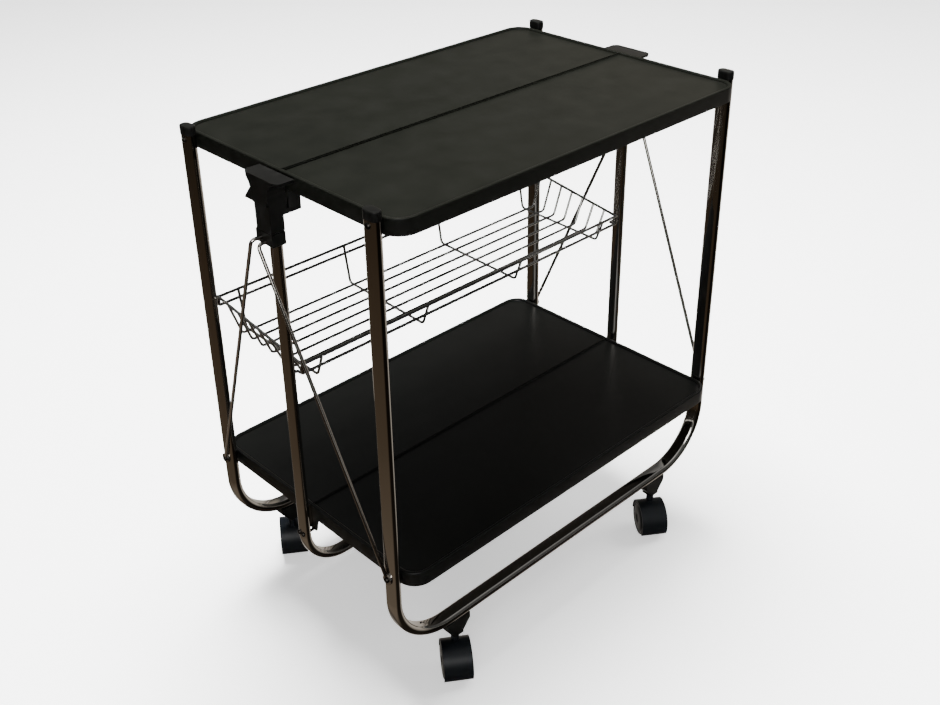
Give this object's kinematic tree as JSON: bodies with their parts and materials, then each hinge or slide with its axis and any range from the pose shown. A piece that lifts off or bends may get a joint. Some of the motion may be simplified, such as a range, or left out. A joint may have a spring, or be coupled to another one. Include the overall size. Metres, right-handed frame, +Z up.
{
  "type": "folding shelf trolley",
  "caption": "Folding serving trolley: flat-oval chrome tube frames, black hinged tray shelves, a hanging wire basket, sliding stay rods and swivel castors.",
  "frame": {"origin": "on the floor, under the middle of the trolley", "axes": "+X along the shelves to the right end, +Y across them to the back, +Z up"},
  "size_m": [0.7122, 0.4448, 0.747],
  "materials": {
    "chrome_tube": "bright chrome plating on flat-oval tube",
    "chrome_rod": "bright chrome plating on round rod",
    "chrome_wire": "bright chrome plating on welded wire",
    "zinc_steel": "zinc-plated pivot screws, stems and axles",
    "upper_tray": "satin black powder coat, faintly warm",
    "lower_tray": "satin black powder coat",
    "black_plastic": "moulded black plastic",
    "castor_tread": "hard black wheel with a soft sheen"
  },
  "bodies": {
    "front_side": {"front_frame": "chrome_tube", "tube_cap_front_left": "black_plastic", "tube_cap_front_right": "black_plastic", "upper_pivot_front_left": "zinc_steel", "upper_pivot_front_right": "zinc_steel", "lower_pivot_front_left": "zinc_steel", "lower_pivot_front_right": "zinc_steel", "castor_socket_front_left": "black_plastic", "castor_socket_front_right": "black_plastic"},
    "upper_front_shelf": {"upper_tray_front": "upper_tray"},
    "middle": {"center_frame": "chrome_tube", "handle_hub_left": "black_plastic", "handle_hub_right": "black_plastic", "center_pivot_front_left": "zinc_steel", "center_pivot_front_right": "zinc_steel", "center_pivot_back_left": "zinc_steel", "center_pivot_back_right": "zinc_steel"},
    "upper_back_shelf": {"upper_tray_back": "upper_tray"},
    "back_side": {"back_frame": "chrome_tube", "tube_cap_back_left": "black_plastic", "tube_cap_back_right": "black_plastic", "upper_pivot_back_left": "zinc_steel", "upper_pivot_back_right": "zinc_steel", "lower_pivot_back_left": "zinc_steel", "lower_pivot_back_right": "zinc_steel", "castor_socket_back_left": "black_plastic", "castor_socket_back_right": "black_plastic"},
    "lower_front_shelf": {"lower_tray_front": "lower_tray"},
    "lower_back_shelf": {"lower_tray_back": "lower_tray"},
    "wire_basket": {"basket": "chrome_wire"},
    "slider_block_left": {"slider_left": "black_plastic"},
    "slider_block_right": {"slider_right": "black_plastic"},
    "stay_rod_front_left": {"stay_front_left": "chrome_rod"},
    "stay_rod_front_right": {"stay_front_right": "chrome_rod"},
    "stay_rod_back_left": {"stay_back_left": "chrome_rod"},
    "stay_rod_back_right": {"stay_back_right": "chrome_rod"},
    "castor_front_left": {"castor_stem_front_left": "zinc_steel", "castor_hood_front_left": "black_plastic", "castor_axle_front_left": "zinc_steel"},
    "wheel_inner_body_front_left": {"wheel_inner_front_left": "castor_tread"},
    "wheel_outer_body_front_left": {"wheel_outer_front_left": "castor_tread"},
    "castor_front_right": {"castor_stem_front_right": "zinc_steel", "castor_hood_front_right": "black_plastic", "castor_axle_front_right": "zinc_steel"},
    "wheel_inner_body_front_right": {"wheel_inner_front_right": "castor_tread"},
    "wheel_outer_body_front_right": {"wheel_outer_front_right": "castor_tread"},
    "castor_back_left": {"castor_stem_back_left": "zinc_steel", "castor_hood_back_left": "black_plastic", "castor_axle_back_left": "zinc_steel"},
    "wheel_inner_body_back_left": {"wheel_inner_back_left": "castor_tread"},
    "wheel_outer_body_back_left": {"wheel_outer_back_left": "castor_tread"},
    "castor_back_right": {"castor_stem_back_right": "zinc_steel", "castor_hood_back_right": "black_plastic", "castor_axle_back_right": "zinc_steel"},
    "wheel_inner_body_back_right": {"wheel_inner_back_right": "castor_tread"},
    "wheel_outer_body_back_right": {"wheel_outer_back_right": "castor_tread"}
  },
  "joints": [
    {"name": "fold", "type": "hinge", "parent": "front_side", "child": "upper_front_shelf", "pos_m": [0, -0.1795, 0.729], "axis": [1, 0, 0], "range_deg": [0, 75]},
    {"name": "middle_hinge", "type": "hinge", "parent": "upper_front_shelf", "child": "middle", "pos_m": [0, -0.0042, 0.698], "axis": [1, 0, 0], "range_deg": [-75, 0]},
    {"name": "upper_back_hinge", "type": "hinge", "parent": "middle", "child": "upper_back_shelf", "pos_m": [0, 0.0042, 0.698], "axis": [1, 0, 0], "range_deg": [-75, 0]},
    {"name": "back_side_hinge", "type": "hinge", "parent": "upper_back_shelf", "child": "back_side", "pos_m": [0, 0.1795, 0.729], "axis": [1, 0, 0], "range_deg": [0, 75]},
    {"name": "lower_front_hinge", "type": "hinge", "parent": "front_side", "child": "lower_front_shelf", "pos_m": [0, -0.1795, 0.2368], "axis": [1, 0, 0], "range_deg": [0, 75]},
    {"name": "lower_back_hinge", "type": "hinge", "parent": "middle", "child": "lower_back_shelf", "pos_m": [0, 0.0042, 0.2058], "axis": [1, 0, 0], "range_deg": [-75, 0]},
    {"name": "basket_hinge", "type": "hinge", "parent": "middle", "child": "wire_basket", "pos_m": [0, 0.0042, 0.4565], "axis": [1, 0, 0], "range_deg": [-75, 0]},
    {"name": "slider_travel_left", "type": "slide", "parent": "middle", "child": "slider_block_left", "axis": [0, 0, -1], "range_m": [0, 0.165]},
    {"name": "slider_travel_right", "type": "slide", "parent": "middle", "child": "slider_block_right", "axis": [0, 0, -1], "range_m": [0, 0.165]},
    {"name": "stay_hinge_front_left", "type": "hinge", "parent": "front_side", "child": "stay_rod_front_left", "pos_m": [0, -0.1795, 0.2368], "axis": [1, 0, 0], "range_deg": [0, 13.54]},
    {"name": "stay_hinge_front_right", "type": "hinge", "parent": "front_side", "child": "stay_rod_front_right", "pos_m": [0, -0.1795, 0.2368], "axis": [1, 0, 0], "range_deg": [0, 13.54]},
    {"name": "stay_hinge_back_left", "type": "hinge", "parent": "back_side", "child": "stay_rod_back_left", "pos_m": [0, 0.1795, 0.2368], "axis": [1, 0, 0], "range_deg": [-13.45, 0]},
    {"name": "stay_hinge_back_right", "type": "hinge", "parent": "back_side", "child": "stay_rod_back_right", "pos_m": [0, 0.1795, 0.2368], "axis": [1, 0, 0], "range_deg": [-13.45, 0]},
    {"name": "castor_swivel_front_left", "type": "hinge", "parent": "front_side", "child": "castor_front_left", "pos_m": [-0.216, -0.1795, 0.09], "axis": [0, 0, 1], "continuous": true},
    {"name": "wheel_inner_spin_front_left", "type": "hinge", "parent": "castor_front_left", "child": "wheel_inner_body_front_left", "pos_m": [-0.22059, -0.18605, 0.027], "axis": [0.8191, -0.5736, 0], "continuous": true},
    {"name": "wheel_outer_spin_front_left", "type": "hinge", "parent": "castor_front_left", "child": "wheel_outer_body_front_left", "pos_m": [-0.22059, -0.18605, 0.027], "axis": [0.8191, -0.5736, 0], "continuous": true},
    {"name": "castor_swivel_front_right", "type": "hinge", "parent": "front_side", "child": "castor_front_right", "pos_m": [0.216, -0.1795, 0.09], "axis": [0, 0, 1], "continuous": true},
    {"name": "wheel_inner_spin_front_right", "type": "hinge", "parent": "castor_front_right", "child": "wheel_inner_body_front_right", "pos_m": [0.21141, -0.18605, 0.027], "axis": [0.8191, -0.5736, 0], "continuous": true},
    {"name": "wheel_outer_spin_front_right", "type": "hinge", "parent": "castor_front_right", "child": "wheel_outer_body_front_right", "pos_m": [0.21141, -0.18605, 0.027], "axis": [0.8191, -0.5736, 0], "continuous": true},
    {"name": "castor_swivel_back_left", "type": "hinge", "parent": "back_side", "child": "castor_back_left", "pos_m": [-0.228, 0.1795, 0.09], "axis": [0, 0, 1], "continuous": true},
    {"name": "wheel_inner_spin_back_left", "type": "hinge", "parent": "castor_back_left", "child": "wheel_inner_body_back_left", "pos_m": [-0.22341, 0.18605, 0.027], "axis": [0.8191, -0.5736, 0], "continuous": true},
    {"name": "wheel_outer_spin_back_left", "type": "hinge", "parent": "castor_back_left", "child": "wheel_outer_body_back_left", "pos_m": [-0.22341, 0.18605, 0.027], "axis": [0.8191, -0.5736, 0], "continuous": true},
    {"name": "castor_swivel_back_right", "type": "hinge", "parent": "back_side", "child": "castor_back_right", "pos_m": [0.228, 0.1795, 0.09], "axis": [0, 0, 1], "continuous": true},
    {"name": "wheel_inner_spin_back_right", "type": "hinge", "parent": "castor_back_right", "child": "wheel_inner_body_back_right", "pos_m": [0.23259, 0.18605, 0.027], "axis": [0.8191, -0.5736, 0], "continuous": true},
    {"name": "wheel_outer_spin_back_right", "type": "hinge", "parent": "castor_back_right", "child": "wheel_outer_body_back_right", "pos_m": [0.23259, 0.18605, 0.027], "axis": [0.8191, -0.5736, 0], "continuous": true}
  ],
  "couplings": [
    {"joint": "middle_hinge", "follows": "fold", "ratio": -1},
    {"joint": "upper_back_hinge", "follows": "fold", "ratio": -1},
    {"joint": "back_side_hinge", "follows": "fold", "ratio": 1},
    {"joint": "lower_front_hinge", "follows": "fold", "ratio": 1},
    {"joint": "lower_back_hinge", "follows": "fold", "ratio": -1},
    {"joint": "basket_hinge", "follows": "fold", "ratio": -1},
    {"joint": "slider_travel_left", "follows": "fold", "m_per_rad": 0.12477},
    {"joint": "slider_travel_right", "follows": "fold", "m_per_rad": 0.12477},
    {"joint": "stay_hinge_front_left", "follows": "fold", "ratio": 0.17654},
    {"joint": "stay_hinge_front_right", "follows": "fold", "ratio": 0.17654},
    {"joint": "stay_hinge_back_left", "follows": "fold", "ratio": -0.17537},
    {"joint": "stay_hinge_back_right", "follows": "fold", "ratio": -0.17537}
  ]
}
